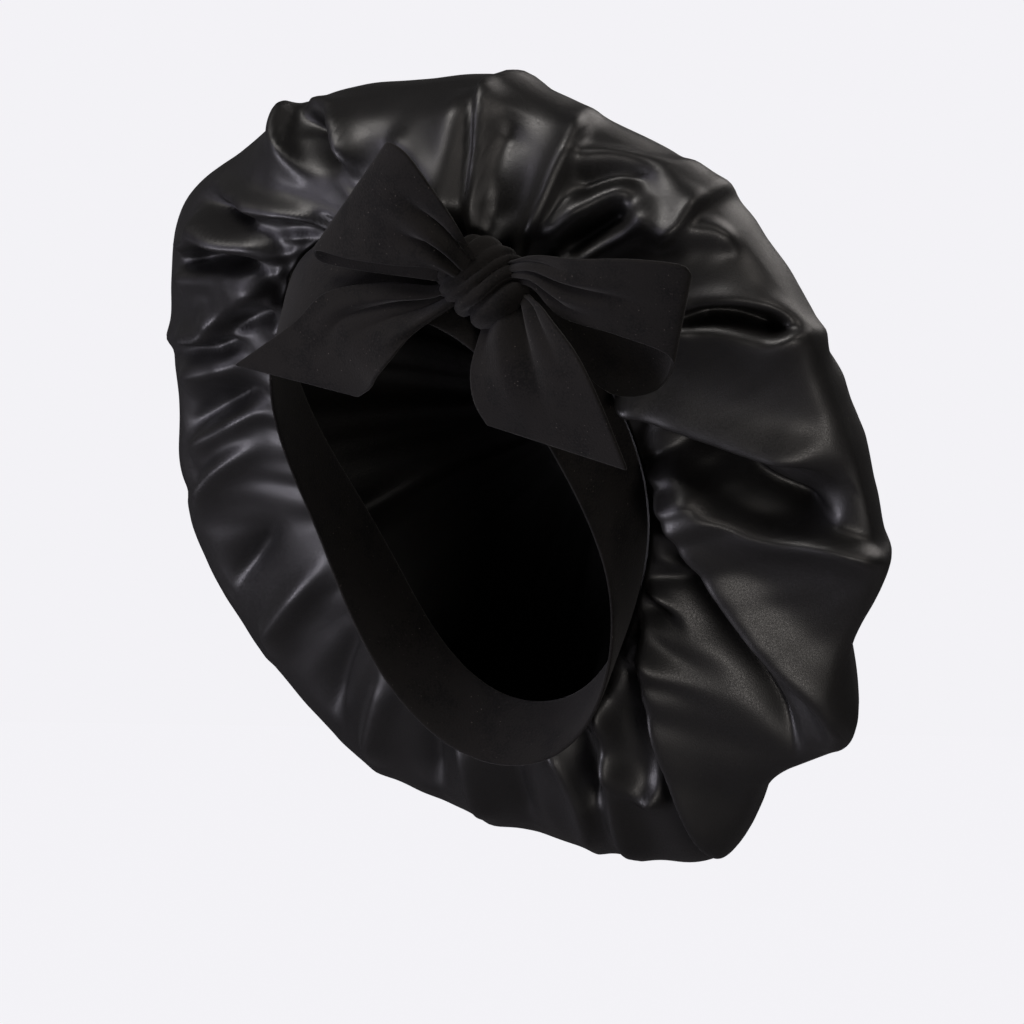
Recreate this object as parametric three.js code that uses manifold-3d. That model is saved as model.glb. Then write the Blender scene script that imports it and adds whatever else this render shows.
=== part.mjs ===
// Sleep bonnet: a jumbo satin crown gathered onto a knit band that ties in a bow above the forehead.
// Millimetres, +Z up. The wearer faces -Y and the wearer's left is +X.
// The origin is the centre of the head opening, and it is where the head holds the bonnet.
// Every piece is shaped in the frame of the opening: x to the wearer's left, y into the bonnet,
// z up towards the forehead. One group leans that frame back to its worn place.

import * as THREE from 'three';
import Module from 'manifold-3d';
import { mergeVertices } from 'three/addons/utils/BufferGeometryUtils.js';

const wasm = await Module();
wasm.setup();

// Head opening: half egg shapes above and below its centre
const OPENING_LEAN_DEG = 27.5;
const OPENING_HALF_WIDTH = 83;
const OPENING_TOP = 142;
const OPENING_BOTTOM = 118;
const TOP_SQUARENESS = 2.8;
const BOTTOM_SQUARENESS = 2.1;

// Knit band
const BAND_FRONT_WIDTH = 48;
const BAND_NAPE_WIDTH = 40;
const BAND_THICKNESS = 2.6;
const BAND_SET_FORWARD = 5;
const BAND_BROW_LEAD = 7;
const BAND_EAR_DIP = 9;
const BAND_FLARE_DEG = 3;
const BAND_END_FLARE_DEG = 28;

// Crown: a round bag whose rim is its widest circle
const CROWN_RADIUS = 220;
const RIM_DEPTH = 70;
const BACK_DEPTH = 85;
const BACK_SQUARENESS = 2;
const CROWN_WALL = 2;
const GATHER_COUNT = 27;
const GATHER_RISE = 3.5;
const GATHER_REACH = 0.5;
const FOLD_RISE = 18;
const FOLD_WIDTH = 20;

// Bow
const STRAP_WIDTH = 68;
const STRAP_THICKNESS = 2.4;
const LOOP_REACH = 80;
const TAIL_REACH = 100;
const BOW_DEPTH = 30;
const PLEAT_RISE = 4;
const KNOT_LENGTH = 42;
const KNOT_WIDTH = 36;
const KNOT_HEIGHT = 30;
const KNOT_ANGLE_DEG = 24;
const KNOT_SEAM_SETBACK = 0.5;
const KNOT_SINK = 0.12;
const KNOT_TURN_DEG = -25;
const WRAP_RISE = 1.6;
const WRAP_COUNT = 4;

// Clearance between pieces that meet
const FIT_GAP = 0.3;

// Faces thinner than this are merged into their neighbours
const SLIVER = 0.02;

// Mesh steps
const STEPS_PER_GATHER = 4;
const FRONT_STEPS = 9;
const BACK_STEPS = 7;
const BAND_STEPS = 72;
const KNOT_RINGS = 12;
const KNOT_SIDES = 20;
const STRAP_ROWS_PER_STATION = 3;
const STRAP_COLUMNS = 8;
const STROKE_STEPS = 8;

// Finishes
const SATIN = { color: 0x1a1819, roughness: 0.3, metalness: 0 };
const KNIT = { color: 0x211e1d, roughness: 0.95, metalness: 0 };

// Rim of the crown seen from the front: angle from the forehead towards the wearer's left,
// and radius as a share of CROWN_RADIUS
const RIM_SECTIONS = [
  { angle: 0, share: 1.02 },
  { angle: 15, share: 1.05 },
  { angle: 30, share: 1.02 },
  { angle: 45, share: 1.02 },
  { angle: 60, share: 0.98 },
  { angle: 75, share: 0.94 },
  { angle: 90, share: 0.92 },
  { angle: 105, share: 0.92 },
  { angle: 120, share: 0.86 },
  { angle: 135, share: 0.93 },
  { angle: 150, share: 0.88 },
  { angle: 165, share: 0.99 },
  { angle: 180, share: 0.96 },
  { angle: 195, share: 0.94 },
  { angle: 210, share: 0.96 },
  { angle: 225, share: 1 },
  { angle: 240, share: 0.99 },
  { angle: 255, share: 1 },
  { angle: 270, share: 0.98 },
  { angle: 285, share: 0.94 },
  { angle: 300, share: 0.97 },
  { angle: 315, share: 1.03 },
  { angle: 330, share: 0.98 },
  { angle: 345, share: 1.02 },
];

// Main folds of the crown. A fold runs from angle a to angle b, in degrees as above, and from out_a
// to out_b: 0 at the band, 1 at the rim, 2 at the middle of the back. rise is a share of FOLD_RISE,
// up for a ridge and down for a dent, and width is a share of FOLD_WIDTH.
const CROWN_FOLDS = [
  { a: 16, out_a: 0.15, b: 13, out_b: 0.95, rise: 0.7, width: 0.7 },
  { a: 22, out_a: 0.15, b: 20, out_b: 0.9, rise: -0.6, width: 0.6 },
  { a: 26, out_a: 0.15, b: 28, out_b: 1.25, rise: 0.8, width: 0.7 },
  { a: 17, out_a: 0.15, b: 3, out_b: 0.65, rise: 0.6, width: 0.6 },
  { a: 359, out_a: 0.3, b: 349, out_b: 0.85, rise: -1.0, width: 0.7 },
  { a: 346, out_a: 0.35, b: 340, out_b: 1.0, rise: 0.6, width: 0.8 },
  { a: 340, out_a: 0.15, b: 326, out_b: 0.62, rise: -0.7, width: 0.6 },
  { a: 344, out_a: 0.1, b: 314, out_b: 0.85, rise: 0.6, width: 0.6 },
  { a: 327, out_a: 0.25, b: 316, out_b: 0.65, rise: -0.7, width: 0.6 },
  { a: 318, out_a: 0.1, b: 303, out_b: 0.9, rise: 0.7, width: 0.8 },
  { a: 315, out_a: 0.15, b: 293, out_b: 1.05, rise: 0.7, width: 0.6 },
  { a: 308, out_a: 0.3, b: 297, out_b: 0.65, rise: -0.6, width: 0.6 },
  { a: 304, out_a: 0.2, b: 275, out_b: 0.9, rise: 0.7, width: 0.7 },
  { a: 287, out_a: 0.25, b: 267, out_b: 0.65, rise: 0.6, width: 0.7 },
  { a: 258, out_a: 0.3, b: 245, out_b: 0.8, rise: -0.8, width: 0.8 },
  { a: 230, out_a: 0.2, b: 224, out_b: 1.1, rise: 0.6, width: 0.8 },
  { a: 203, out_a: 0.2, b: 206, out_b: 0.95, rise: -0.6, width: 0.8 },
  { a: 183, out_a: 0.15, b: 186, out_b: 1.1, rise: 0.6, width: 0.8 },
  { a: 32, out_a: 0.3, b: 40, out_b: 0.85, rise: -0.6, width: 0.6 },
  { a: 44, out_a: 0.5, b: 46, out_b: 1.15, rise: 0.6, width: 0.6 },
  { a: 53, out_a: 0.4, b: 66, out_b: 0.85, rise: -0.8, width: 0.7 },
  { a: 55, out_a: 0.3, b: 67, out_b: 1.1, rise: 0.7, width: 0.6 },
  { a: 58, out_a: 0.1, b: 85, out_b: 0.65, rise: 0.7, width: 0.8 },
  { a: 80, out_a: 0.25, b: 95, out_b: 0.75, rise: -0.9, width: 0.8 },
  { a: 98, out_a: 0.5, b: 99, out_b: 1.3, rise: 0.6, width: 0.7 },
  { a: 88, out_a: 0.15, b: 131, out_b: 1.0, rise: 1.0, width: 0.8 },
  { a: 112, out_a: 0.1, b: 139, out_b: 0.8, rise: -1.0, width: 1.0 },
  { a: 137, out_a: 0.1, b: 165, out_b: 1.1, rise: 0.9, width: 0.8 },
  { a: 164, out_a: 0.1, b: 178, out_b: 0.8, rise: -0.7, width: 0.7 },
  { a: 15, out_a: 1.1, b: 10, out_b: 1.7, rise: -0.4, width: 1.2 },
  { a: 72, out_a: 1.05, b: 68, out_b: 1.7, rise: -0.5, width: 1.2 },
  { a: 118, out_a: 0.95, b: 122, out_b: 1.65, rise: -0.6, width: 1.2 },
  { a: 152, out_a: 1.05, b: 148, out_b: 1.6, rise: -0.5, width: 1.1 },
  { a: 198, out_a: 1.0, b: 194, out_b: 1.6, rise: -0.5, width: 1.1 },
  { a: 250, out_a: 1.0, b: 255, out_b: 1.65, rise: -0.5, width: 1.2 },
  { a: 292, out_a: 1.05, b: 288, out_b: 1.6, rise: -0.4, width: 1.1 },
  { a: 328, out_a: 1.05, b: 332, out_b: 1.65, rise: -0.5, width: 1.1 },
];

// Strap sections, from the knot outwards. reach is a share of LOOP_REACH or TAIL_REACH from the
// middle of the knot, heading turns from the wearer's left towards the forehead, spread is a share
// of STRAP_WIDTH, lean is the way that the width points, tilt how far that way leans back into the
// crown, and front is a share of BOW_DEPTH. Angles are in degrees.
const TAIL_RIGHT = [
  { reach: 0.07, heading: 172, spread: 0.24, lean: 72, tilt: 45, front: 0.3 },
  { reach: 0.24, heading: 190, spread: 0.4, lean: 64, tilt: 46, front: 0.7 },
  { reach: 0.43, heading: 188, spread: 0.58, lean: 105, tilt: 34, front: 1 },
  { reach: 0.64, heading: 190, spread: 0.75, lean: 127, tilt: 20, front: 1.12 },
  { reach: 0.82, heading: 196, spread: 0.8, lean: 144, tilt: 10, front: 1.15 },
  { reach: 1.11, heading: 199, spread: 1.08, lean: 166, tilt: 0, front: 1.15 },
];
const TAIL_LEFT = [
  { reach: 0.05, heading: 340, spread: 0.24, lean: 158, tilt: 0, front: 0.1 },
  { reach: 0.19, heading: 344, spread: 0.52, lean: 192, tilt: 0, front: 0.52 },
  { reach: 0.29, heading: 322, spread: 0.78, lean: 192, tilt: 0, front: 0.74 },
  { reach: 0.43, heading: 308, spread: 0.98, lean: 186, tilt: 0, front: 0.82 },
  { reach: 0.61, heading: 298, spread: 1.1, lean: 179, tilt: 0, front: 0.82 },
  { reach: 0.86, heading: 291, spread: 1.18, lean: 161, tilt: 0, front: 0.74 },
];
const LOOP_RIGHT = [
  { reach: 0.08, heading: 83, spread: 0.18, lean: 72, tilt: 20, front: 0.22 },
  { reach: 0.36, heading: 94, spread: 0.38, lean: 54, tilt: 15, front: 0.64 },
  { reach: 0.57, heading: 111, spread: 0.73, lean: 53, tilt: 10, front: 0.76 },
  { reach: 0.78, heading: 122, spread: 1.06, lean: 48, tilt: 5, front: 0.76 },
  { reach: 0.95, heading: 133, spread: 1.27, lean: 42, tilt: 0, front: 0.55 },
  { reach: 0.91, heading: 141, spread: 1.27, lean: 43, tilt: 0, front: 0.28 },
  { reach: 0.64, heading: 138, spread: 0.98, lean: 42, tilt: 0, front: 0.34 },
  { reach: 0.34, heading: 120, spread: 0.53, lean: 53, tilt: 10, front: 0.4 },
  { reach: 0.1, heading: 104, spread: 0.2, lean: 62, tilt: 10, front: 0.2 },
];
const LOOP_LEFT = [
  { reach: 0.14, heading: 20, spread: 0.18, lean: 84, tilt: 0, front: 0.16 },
  { reach: 0.42, heading: 12, spread: 0.28, lean: 70, tilt: 0, front: 0.24 },
  { reach: 0.69, heading: 0, spread: 0.54, lean: 58, tilt: 0, front: 0.28 },
  { reach: 1.07, heading: 356, spread: 0.68, lean: 61, tilt: 0, front: 0.24 },
  { reach: 1.38, heading: 351, spread: 0.8, lean: 64, tilt: 0, front: 0.04 },
  { reach: 1.28, heading: 341, spread: 0.98, lean: 60, tilt: 0, front: -0.24 },
  { reach: 0.98, heading: 333, spread: 0.92, lean: 60, tilt: 0, front: -0.34 },
  { reach: 0.67, heading: 333, spread: 0.6, lean: 60, tilt: 0, front: -0.2 },
  { reach: 0.36, heading: 345, spread: 0.34, lean: 66, tilt: 0, front: -0.08 },
  { reach: 0.12, heading: 352, spread: 0.18, lean: 72, tilt: 0, front: 0 },
];

const { degToRad, lerp, smoothstep } = THREE.MathUtils;

// Closed meshes

function closedGeometry(positions, triangles) {
  const geometry = new THREE.BufferGeometry();
  geometry.setAttribute('position', new THREE.Float32BufferAttribute(positions.flatMap((p) => p.toArray()), 3));
  geometry.setIndex(signedVolume(positions, triangles) < 0 ? turnedOver(triangles) : triangles);
  return geometry;
}

function signedVolume(positions, triangles) {
  let volume = 0;
  for (let i = 0; i < triangles.length; i += 3) {
    const [a, b, c] = [positions[triangles[i]], positions[triangles[i + 1]], positions[triangles[i + 2]]];
    volume += a.dot(b.clone().cross(c)) / 6;
  }
  return volume;
}

function turnedOver(triangles) {
  return triangles.map((_, i) => triangles[i % 3 === 0 ? i : i % 3 === 1 ? i + 1 : i - 1]);
}

function quad(a, b, c, d) {
  return [a, b, c, a, c, d];
}

// A solid whose section loops are joined one to the next, closed on itself or capped at both ends
function loftLoops(loops, closedOnItself) {
  const sides = loops[0].length;
  const triangles = [];
  const lofts = closedOnItself ? loops.length : loops.length - 1;
  for (let i = 0; i < lofts; i += 1) {
    const here = i * sides;
    const next = ((i + 1) % loops.length) * sides;
    for (let k = 0; k < sides; k += 1) {
      const after = (k + 1) % sides;
      triangles.push(...quad(here + k, here + after, next + after, next + k));
    }
  }
  if (!closedOnItself) {
    const last = (loops.length - 1) * sides;
    triangles.push(...capStrip(0, sides).reverse());
    triangles.push(...capStrip(last, sides));
  }
  return closedGeometry(loops.flat(), triangles);
}

// A cap for a flat strip's section: its two long sides are joined across
function capStrip(first, sides) {
  const triangles = [];
  for (let k = 0; k < sides / 2 - 1; k += 1) {
    const far = sides - 1 - k;
    triangles.push(...quad(first + k, first + k + 1, first + far - 1, first + far));
  }
  return triangles;
}

function toSolid(geometry) {
  const bare = geometry.clone();
  bare.deleteAttribute('normal');
  bare.deleteAttribute('uv');
  const merged = mergeVertices(bare, 1e-4);
  return new wasm.Manifold(new wasm.Mesh({
    numProp: 3,
    vertProperties: new Float32Array(merged.attributes.position.array),
    triVerts: new Uint32Array(merged.index.array),
  }));
}

// A cut can leave crumbs of cloth inside the knot's room, so a strap is the body that remains,
// without the slivers along the cut's edge
function largestBody(solid) {
  return solid.decompose().sort((a, b) => b.volume() - a.volume())[0].simplify(SLIVER);
}

function toGeometry(solid) {
  const mesh = solid.getMesh();
  const geometry = new THREE.BufferGeometry();
  geometry.setAttribute('position', new THREE.BufferAttribute(new Float32Array(mesh.vertProperties), 3));
  geometry.setIndex(new THREE.BufferAttribute(new Uint32Array(mesh.triVerts), 1));
  return geometry;
}

function named(name, geometry, finish) {
  const flat = geometry.toNonIndexed();
  flat.computeVertexNormals();
  const mesh = new THREE.Mesh(flat, new THREE.MeshStandardMaterial(finish));
  mesh.name = name;
  return mesh;
}

// Sections round the head: angle 0 at the forehead, 90 at the wearer's left ear, 180 at the nape

function aroundHead(angle, radius, depth) {
  return new THREE.Vector3(radius * Math.sin(angle), depth, radius * Math.cos(angle));
}

function openingRadius(angle) {
  const upward = Math.cos(angle);
  const squareness = upward > 0 ? TOP_SQUARENESS : BOTTOM_SQUARENESS;
  const reach = upward > 0 ? OPENING_TOP : OPENING_BOTTOM;
  const sideways = Math.abs(Math.sin(angle) / OPENING_HALF_WIDTH) ** squareness;
  return (sideways + Math.abs(upward / reach) ** squareness) ** (-1 / squareness);
}

function bandWidth(angle) {
  return lerp(BAND_NAPE_WIDTH, BAND_FRONT_WIDTH, (1 + Math.cos(angle)) / 2);
}

// The band's own section: across runs from its face edge, 0, to its seam edge, 1, and lift is the
// height above the side that touches the head
function bandSection(angle, across, lift) {
  const flare = degToRad(BAND_FLARE_DEG + BAND_END_FLARE_DEG * Math.cos(angle));
  const run = across * bandWidth(angle);
  const edgeDepth = -BAND_SET_FORWARD - BAND_BROW_LEAD * Math.cos(angle) - BAND_EAR_DIP * Math.cos(2 * angle);
  return {
    radius: openingRadius(angle) + run * Math.sin(flare) + lift * Math.cos(flare),
    depth: edgeDepth + run * Math.cos(flare) - lift * Math.sin(flare),
  };
}

function bandPoint(angle, across, lift) {
  const { radius, depth } = bandSection(angle, across, lift);
  return aroundHead(angle, radius, depth);
}

function bandGeometry(grow, under) {
  const loops = [];
  const edge = grow / BAND_NAPE_WIDTH;
  for (let i = 0; i < BAND_STEPS; i += 1) {
    const angle = (2 * Math.PI * i) / BAND_STEPS;
    loops.push([
      bandPoint(angle, -edge, BAND_THICKNESS * 0.85 + grow),
      bandPoint(angle, 0.2, BAND_THICKNESS + grow),
      bandPoint(angle, 0.8, BAND_THICKNESS + grow),
      bandPoint(angle, 1 + edge, BAND_THICKNESS * 0.85 + grow),
      bandPoint(angle, 1 + edge, -under),
      bandPoint(angle, -edge, -under),
    ]);
  }
  return loftLoops(loops, true);
}

// Crown

// A smooth closed curve through the rim's sections
function rimShare(angle) {
  const count = RIM_SECTIONS.length;
  const place = ((((angle / (2 * Math.PI)) % 1) + 1) % 1) * count;
  const first = Math.floor(place);
  const t = place - first;
  const [p0, p1, p2, p3] = [-1, 0, 1, 2].map((k) => RIM_SECTIONS[(first + k + count) % count].share);
  const bend = (2 * p0 - 5 * p1 + 4 * p2 - p3) * t * t + (3 * p1 - p0 - 3 * p2 + p3) * t ** 3;
  return p1 + 0.5 * ((p2 - p0) * t + bend);
}

// The crown without its folds: the place and outward direction of its section at an angle.
// out runs from 0 at the band to 1 at the rim and 2 at the middle of the back.
function crownSection(angle, out) {
  const rim = CROWN_RADIUS * rimShare(angle);
  if (out <= 1) {
    const seam = bandSection(angle, 1, BAND_THICKNESS);
    const turn = (out * Math.PI) / 2;
    const seamRadius = seam.radius + FIT_GAP;
    const [wide, deep] = [rim - seamRadius, RIM_DEPTH - seam.depth];
    return {
      radius: seamRadius + wide * Math.sin(turn),
      depth: seam.depth + deep * (1 - Math.cos(turn)),
      direction: new THREE.Vector2(deep * Math.sin(turn), -wide * Math.cos(turn)).normalize(),
    };
  }
  const turn = ((out - 1) * Math.PI) / 2;
  const power = 2 / BACK_SQUARENESS;
  const [shareOut, shareBack] = [Math.max(Math.cos(turn), 0) ** power, Math.sin(turn) ** power];
  const slope = BACK_SQUARENESS - 1;
  return {
    radius: rim * shareOut,
    depth: RIM_DEPTH + BACK_DEPTH * shareBack,
    direction: new THREE.Vector2(shareOut ** slope / rim, shareBack ** slope / BACK_DEPTH).normalize(),
  };
}

function crownPoint(angle, out, rise) {
  const { radius, depth, direction } = crownSection(angle, out);
  return aroundHead(angle, radius + rise * direction.x, depth + rise * direction.y);
}

// Each fold as a chain of points on the plain crown
function foldChains() {
  return CROWN_FOLDS.map((fold) => {
    const sweep = ((fold.b - fold.a + 540) % 360) - 180;
    const points = [];
    for (let i = 0; i <= STROKE_STEPS; i += 1) {
      const share = i / STROKE_STEPS;
      const angle = degToRad(fold.a + sweep * share);
      points.push(crownPoint(angle, lerp(fold.out_a, fold.out_b, share), 0));
    }
    return { points, rise: fold.rise * FOLD_RISE, width: fold.width * FOLD_WIDTH };
  });
}

// How far a place on the crown lies from a chain, and how far along the chain that is
function nearestOnChain(place, points) {
  let nearest = { distance: Infinity, along: 0 };
  for (let i = 0; i < points.length - 1; i += 1) {
    const line = new THREE.Line3(points[i], points[i + 1]);
    const t = line.closestPointToPointParameter(place, true);
    const distance = line.at(t, new THREE.Vector3()).distanceTo(place);
    if (distance < nearest.distance) nearest = { distance, along: (i + t) / (points.length - 1) };
  }
  return nearest;
}

function crownRise(angle, out, chains) {
  const place = crownPoint(angle, out, 0);
  let rise = 0;
  for (const chain of chains) {
    const { distance, along } = nearestOnChain(place, chain.points);
    const taper = Math.sin(Math.PI * lerp(0.15, 0.85, along));
    rise += chain.rise * taper * Math.exp(-((distance / chain.width) ** 2));
  }
  const gathers = GATHER_RISE * Math.cos(GATHER_COUNT * angle) * (1 - smoothstep(out, 0, GATHER_REACH));
  const held = smoothstep(out, 0, 0.14) * (1 - smoothstep(out, 1.6, 1.95));
  return held * (rise + gathers);
}

function crownGeometry() {
  const around = GATHER_COUNT * STEPS_PER_GATHER;
  const chains = foldChains();
  const outs = [];
  for (let j = 0; j <= FRONT_STEPS; j += 1) outs.push(j / FRONT_STEPS);
  for (let j = 1; j < BACK_STEPS; j += 1) outs.push(1 + j / BACK_STEPS);
  const outer = [];
  const inner = [];
  for (const out of outs) {
    for (let i = 0; i < around; i += 1) {
      const angle = (2 * Math.PI * i) / around;
      const rise = crownRise(angle, out, chains);
      outer.push(crownPoint(angle, out, rise));
      inner.push(crownPoint(angle, out, rise - CROWN_WALL));
    }
  }
  const back = RIM_DEPTH + BACK_DEPTH;
  const positions = [...outer, ...inner, new THREE.Vector3(0, back, 0), new THREE.Vector3(0, back - CROWN_WALL, 0)];
  const outerPole = outer.length + inner.length;
  const triangles = [];
  const lastRing = (outs.length - 1) * around;
  for (let i = 0; i < around; i += 1) {
    const next = (i + 1) % around;
    for (let ring = 0; ring < lastRing; ring += around) {
      triangles.push(...quad(ring + i, ring + next, ring + around + next, ring + around + i));
      const under = outer.length + ring;
      triangles.push(...quad(under + i, under + around + i, under + around + next, under + next));
    }
    triangles.push(lastRing + i, lastRing + next, outerPole);
    triangles.push(outer.length + lastRing + next, outer.length + lastRing + i, outerPole + 1);
    triangles.push(...quad(i, outer.length + i, outer.length + next, next));
  }
  return closedGeometry(positions, triangles);
}

// Bow

const knotAngle = degToRad(KNOT_ANGLE_DEG);
const knotLift = BAND_THICKNESS + FIT_GAP + KNOT_HEIGHT * (0.5 - KNOT_SINK);
const knotAcross = 1 - (KNOT_WIDTH / 2 + KNOT_SEAM_SETBACK) / bandWidth(knotAngle);
const knotCentre = bandPoint(knotAngle, knotAcross, knotLift);

// The knot's own axes: along the band, across it, and out from it
function knotAxes() {
  const step = 0.01;
  const foot = bandPoint(knotAngle, knotAcross, 0);
  const along = bandPoint(knotAngle + step, knotAcross, 0).sub(foot).normalize();
  const out = bandPoint(knotAngle, knotAcross, BAND_THICKNESS).sub(foot);
  out.addScaledVector(along, -out.dot(along)).normalize();
  return { along, across: out.clone().cross(along), out };
}

// A rounded lump with ridges where the strap wraps it slantwise
function knotGeometry(grow) {
  const { along, across, out } = knotAxes();
  const place = (round, up) => {
    const [x, y, z] = [Math.cos(round) * Math.cos(up), Math.sin(round) * Math.cos(up), Math.sin(up)];
    const boxy = (Math.abs(x) ** 2.6 + Math.abs(y) ** 2.6 + Math.abs(z) ** 2.6) ** (-1 / 2.6);
    const slant = x * Math.cos(degToRad(KNOT_TURN_DEG)) + y * Math.sin(degToRad(KNOT_TURN_DEG));
    const ridge = WRAP_RISE * Math.cos(WRAP_COUNT * Math.PI * slant) * Math.cos(up) ** 0.5;
    const size = (half) => half * boxy + grow + ridge;
    return new THREE.Vector3()
      .addScaledVector(along, x * size(KNOT_LENGTH / 2))
      .addScaledVector(across, y * size(KNOT_WIDTH / 2))
      .addScaledVector(out, z * size(KNOT_HEIGHT / 2))
      .add(knotCentre);
  };
  const positions = [];
  for (let j = 1; j < KNOT_RINGS; j += 1) {
    const up = Math.PI * (j / KNOT_RINGS - 0.5);
    for (let i = 0; i < KNOT_SIDES; i += 1) positions.push(place((2 * Math.PI * i) / KNOT_SIDES, up));
  }
  positions.push(place(0, -Math.PI / 2), place(0, Math.PI / 2));
  const [low, high] = [positions.length - 2, positions.length - 1];
  const last = (KNOT_RINGS - 2) * KNOT_SIDES;
  const triangles = [];
  for (let i = 0; i < KNOT_SIDES; i += 1) {
    const next = (i + 1) % KNOT_SIDES;
    for (let ring = 0; ring < last; ring += KNOT_SIDES) {
      triangles.push(...quad(ring + i, ring + next, ring + KNOT_SIDES + next, ring + KNOT_SIDES + i));
    }
    triangles.push(next, i, low);
    triangles.push(last + i, last + next, high);
  }
  return closedGeometry(positions, triangles);
}

// A strap's sections as curves, so that rows can be taken between the stations
function strapCurves(stations, reach) {
  const middles = stations.map(({ reach: share, heading, front }) => {
    const [away, turn] = [share * reach, degToRad(heading)];
    return new THREE.Vector3(away * Math.cos(turn), -front * BOW_DEPTH, away * Math.sin(turn)).add(knotCentre);
  });
  const halves = stations.map(({ spread, lean, tilt }) => {
    const [half, turn, back] = [(spread * STRAP_WIDTH) / 2, degToRad(lean), degToRad(tilt)];
    const flat = half * Math.cos(back);
    return new THREE.Vector3(flat * Math.cos(turn), half * Math.sin(back), flat * Math.sin(turn));
  });
  return { middle: new THREE.CatmullRomCurve3(middles), half: new THREE.CatmullRomCurve3(halves) };
}

// A cloth strip through the stations, creased lengthwise where the knot gathers it
function strapGeometry(stations, reach, pleats) {
  const { middle, half } = strapCurves(stations, reach);
  const rows = (stations.length - 1) * STRAP_ROWS_PER_STATION;
  const sheet = (row, column) => {
    const [t, across] = [row / rows, (2 * column) / STRAP_COLUMNS - 1];
    const spread = half.getPoint(t);
    const gathered = PLEAT_RISE * (1 - spread.length() / STRAP_WIDTH);
    const point = middle.getPoint(t).addScaledVector(spread, across);
    point.y += gathered * Math.cos(Math.PI * pleats * across);
    return point;
  };
  const grid = [];
  for (let row = 0; row <= rows; row += 1) {
    grid.push(Array.from({ length: STRAP_COLUMNS + 1 }, (_, column) => sheet(row, column)));
  }
  const loops = grid.map((line, row) => {
    const before = grid[Math.max(row - 1, 0)];
    const after = grid[Math.min(row + 1, rows)];
    const normals = line.map((_, column) => {
      const lengthwise = after[column].clone().sub(before[column]);
      const crosswise = line[Math.min(column + 1, STRAP_COLUMNS)].clone().sub(line[Math.max(column - 1, 0)]);
      return lengthwise.cross(crosswise).normalize();
    });
    const face = (side) => line.map((p, k) => p.clone().addScaledVector(normals[k], (side * STRAP_THICKNESS) / 2));
    return [...face(1), ...face(-1).reverse()];
  });
  return loftLoops(loops, false);
}

// Assembly

function bonnet() {
  const worn = new THREE.Group();
  worn.rotation.x = degToRad(OPENING_LEAN_DEG);
  worn.add(named('crown', crownGeometry(), SATIN));
  worn.add(named('band', bandGeometry(0, 0), KNIT));
  const knot = toSolid(knotGeometry(0)).subtract(toSolid(bandGeometry(FIT_GAP, KNOT_HEIGHT)));
  worn.add(named('knot', toGeometry(knot), KNIT));
  const knotRoom = toSolid(knotGeometry(FIT_GAP));
  const straps = [
    { name: 'loop_left', stations: LOOP_LEFT, reach: LOOP_REACH, pleats: 2 },
    { name: 'loop_right', stations: LOOP_RIGHT, reach: LOOP_REACH, pleats: 2 },
    { name: 'tail_left', stations: TAIL_LEFT, reach: TAIL_REACH, pleats: 1.5 },
    { name: 'tail_right', stations: TAIL_RIGHT, reach: TAIL_REACH, pleats: 1.5 },
  ];
  for (const { name, stations, reach, pleats } of straps) {
    const strap = toSolid(strapGeometry(stations, reach, pleats)).subtract(knotRoom);
    worn.add(named(name, toGeometry(largestBody(strap)), KNIT));
  }
  const group = new THREE.Group();
  group.add(worn);
  return group;
}

export default bonnet();
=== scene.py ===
import math

import bpy
import numpy as np
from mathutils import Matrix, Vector, noise


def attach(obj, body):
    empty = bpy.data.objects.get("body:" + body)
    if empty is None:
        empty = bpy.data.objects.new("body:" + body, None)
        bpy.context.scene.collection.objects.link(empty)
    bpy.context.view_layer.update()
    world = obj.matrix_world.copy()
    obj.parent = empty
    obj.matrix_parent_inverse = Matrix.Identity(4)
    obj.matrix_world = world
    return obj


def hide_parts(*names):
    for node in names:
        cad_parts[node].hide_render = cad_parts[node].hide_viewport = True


# Jumbo satin sleep bonnet: a satin crown gathered onto a jersey band that ties in a bow.
# Metres. The crown, band and bow are shaped in the frame of the head opening: x to the wearer's
# left, depth into the bonnet, up towards the forehead; that frame leans back by OPENING_LEAN.

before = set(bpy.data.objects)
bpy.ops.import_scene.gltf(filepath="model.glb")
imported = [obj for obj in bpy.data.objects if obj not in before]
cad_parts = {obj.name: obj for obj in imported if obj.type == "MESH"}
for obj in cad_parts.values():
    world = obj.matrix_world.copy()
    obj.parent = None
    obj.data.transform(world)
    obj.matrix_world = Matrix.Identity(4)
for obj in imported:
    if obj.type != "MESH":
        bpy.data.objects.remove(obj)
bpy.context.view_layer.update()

MM = 0.001

# Head opening and band, as the frame has them
OPENING_LEAN = math.radians(27.5)
OPENING_HALF_WIDTH = 83 * MM
OPENING_TOP = 142 * MM
OPENING_BOTTOM = 118 * MM
TOP_SQUARENESS = 2.8
BOTTOM_SQUARENESS = 2.1
BAND_FRONT_WIDTH = 48 * MM
BAND_NAPE_WIDTH = 40 * MM
BAND_THICKNESS = 2.6 * MM
BAND_SET_FORWARD = 5 * MM
BAND_BROW_LEAD = 7 * MM
BAND_EAR_DIP = 9 * MM
BAND_FLARE = math.radians(3)
BAND_END_FLARE = math.radians(28)
FIT_GAP = 0.3 * MM

# Crown. Its mesh has CROWN_COLUMNS round the head, FRONT_ROWS from band to rim and BACK_ROWS behind.
CROWN_RADIUS = 220 * MM
RIM_DEPTH = 70 * MM
BACK_DEPTH = 85 * MM
BACK_SQUARENESS = 2.0
SATIN_THICKNESS = 1.2 * MM
CROWN_COLUMNS = 500
FRONT_ROWS = 74
BACK_ROWS = 24
RELAX_STEPS = 2

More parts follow.
